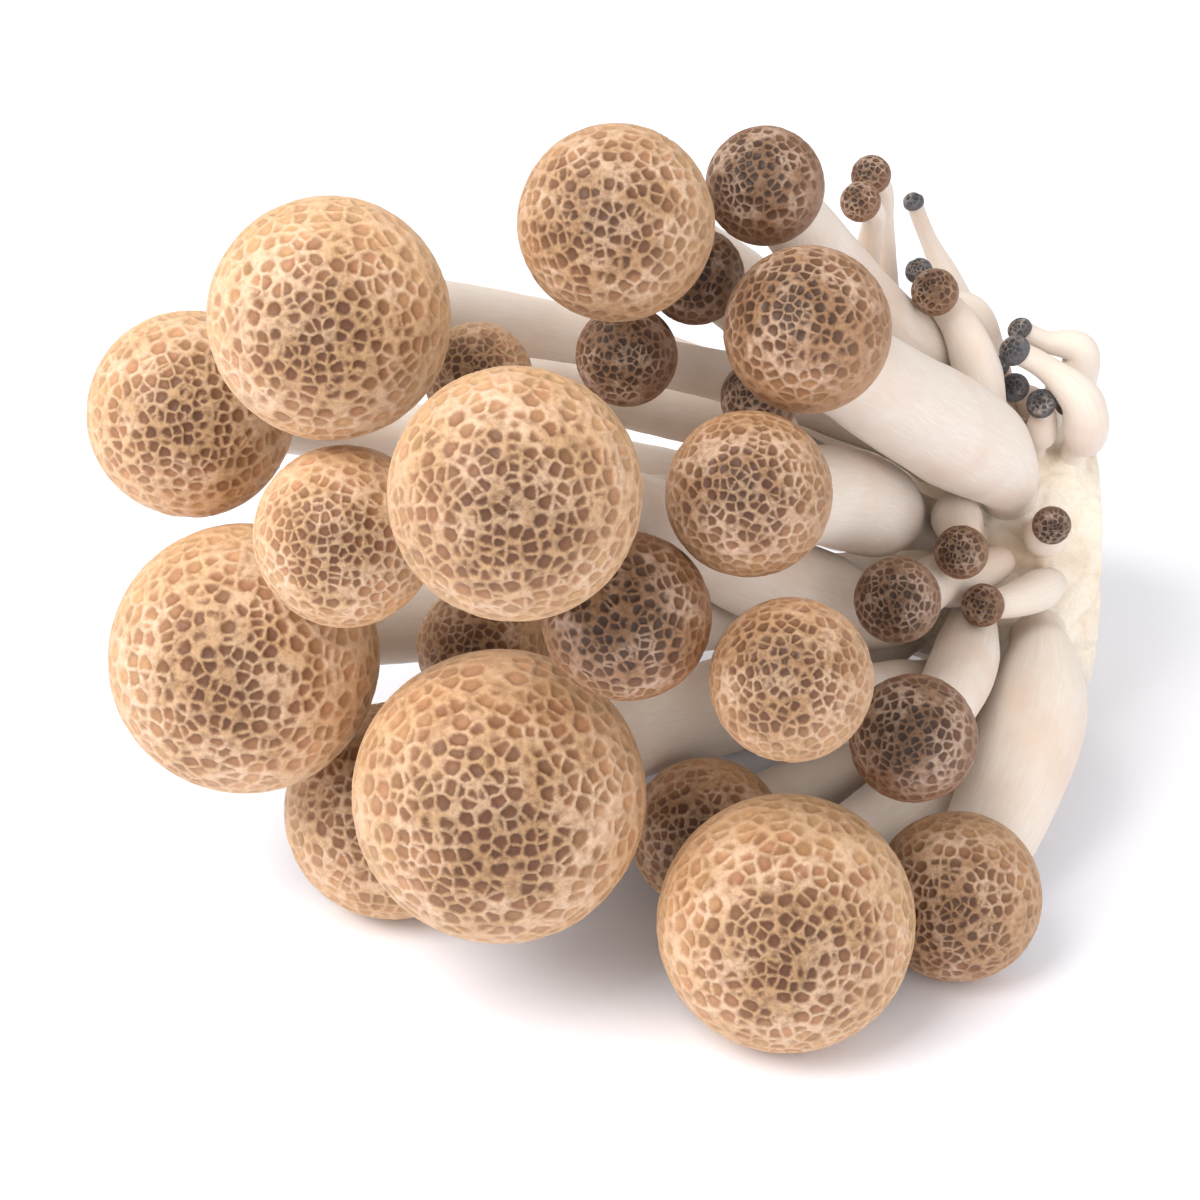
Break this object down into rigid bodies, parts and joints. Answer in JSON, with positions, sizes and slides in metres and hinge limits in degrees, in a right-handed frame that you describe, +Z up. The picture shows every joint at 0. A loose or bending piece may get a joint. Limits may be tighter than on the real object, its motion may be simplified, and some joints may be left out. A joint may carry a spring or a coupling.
{
  "type": "beech mushroom cluster",
  "caption": "Cluster of beech mushrooms lying on its side: netted round caps with gills on pale curved stems that grow from a shared butt with young pins.",
  "frame": {"origin": "middle of the whole box, on the surface that the cluster lies on", "axes": "+Z up; the caps face -Y and a little +X; the butt is towards +Y and +X, and its cut faces the same way"},
  "size_m": [0.0934, 0.108, 0.0834],
  "materials": {
    "cap_tan": "matte skin with a raised pale net",
    "cap_brown": "matte dark skin with a raised paler net",
    "flesh": "matte fibrous cream flesh"
  },
  "bodies": {
    "root": {"cap_01": "cap_tan", "cap_02": "cap_tan", "cap_03": "cap_tan", "cap_04": "cap_tan", "cap_05": "cap_tan", "cap_06": "cap_tan", "cap_07": "cap_tan", "cap_08": "cap_tan", "cap_09": "cap_tan", "cap_10": "cap_tan", "cap_11": "cap_tan", "cap_12": "cap_tan", "cap_13": "cap_tan", "cap_14": "cap_tan", "cap_15": "cap_tan", "cap_16": "cap_brown", "cap_17": "cap_brown", "cap_18": "cap_brown", "cap_19": "cap_brown", "cap_20": "cap_brown", "cap_21": "cap_brown", "cap_22": "cap_brown", "cap_23": "cap_brown", "cap_24": "cap_brown", "cap_25": "cap_brown", "cap_26": "cap_brown", "cap_27": "cap_brown", "cap_28": "cap_brown", "stem_01": "flesh", "stem_02": "flesh", "stem_03": "flesh", "stem_04": "flesh", "stem_05": "flesh", "stem_06": "flesh", "stem_07": "flesh", "stem_08": "flesh", "stem_09": "flesh", "stem_10": "flesh", "stem_11": "flesh", "stem_12": "flesh", "stem_13": "flesh", "stem_14": "flesh", "stem_15": "flesh", "stem_16": "flesh", "stem_17": "flesh", "stem_18": "flesh", "stem_19": "flesh", "stem_20": "flesh", "stem_21": "flesh", "stem_22": "flesh", "stem_23": "flesh", "stem_24": "flesh", "stem_25": "flesh", "stem_26": "flesh", "stem_27": "flesh", "stem_28": "flesh", "butt": "flesh"}
  },
  "joints": []
}
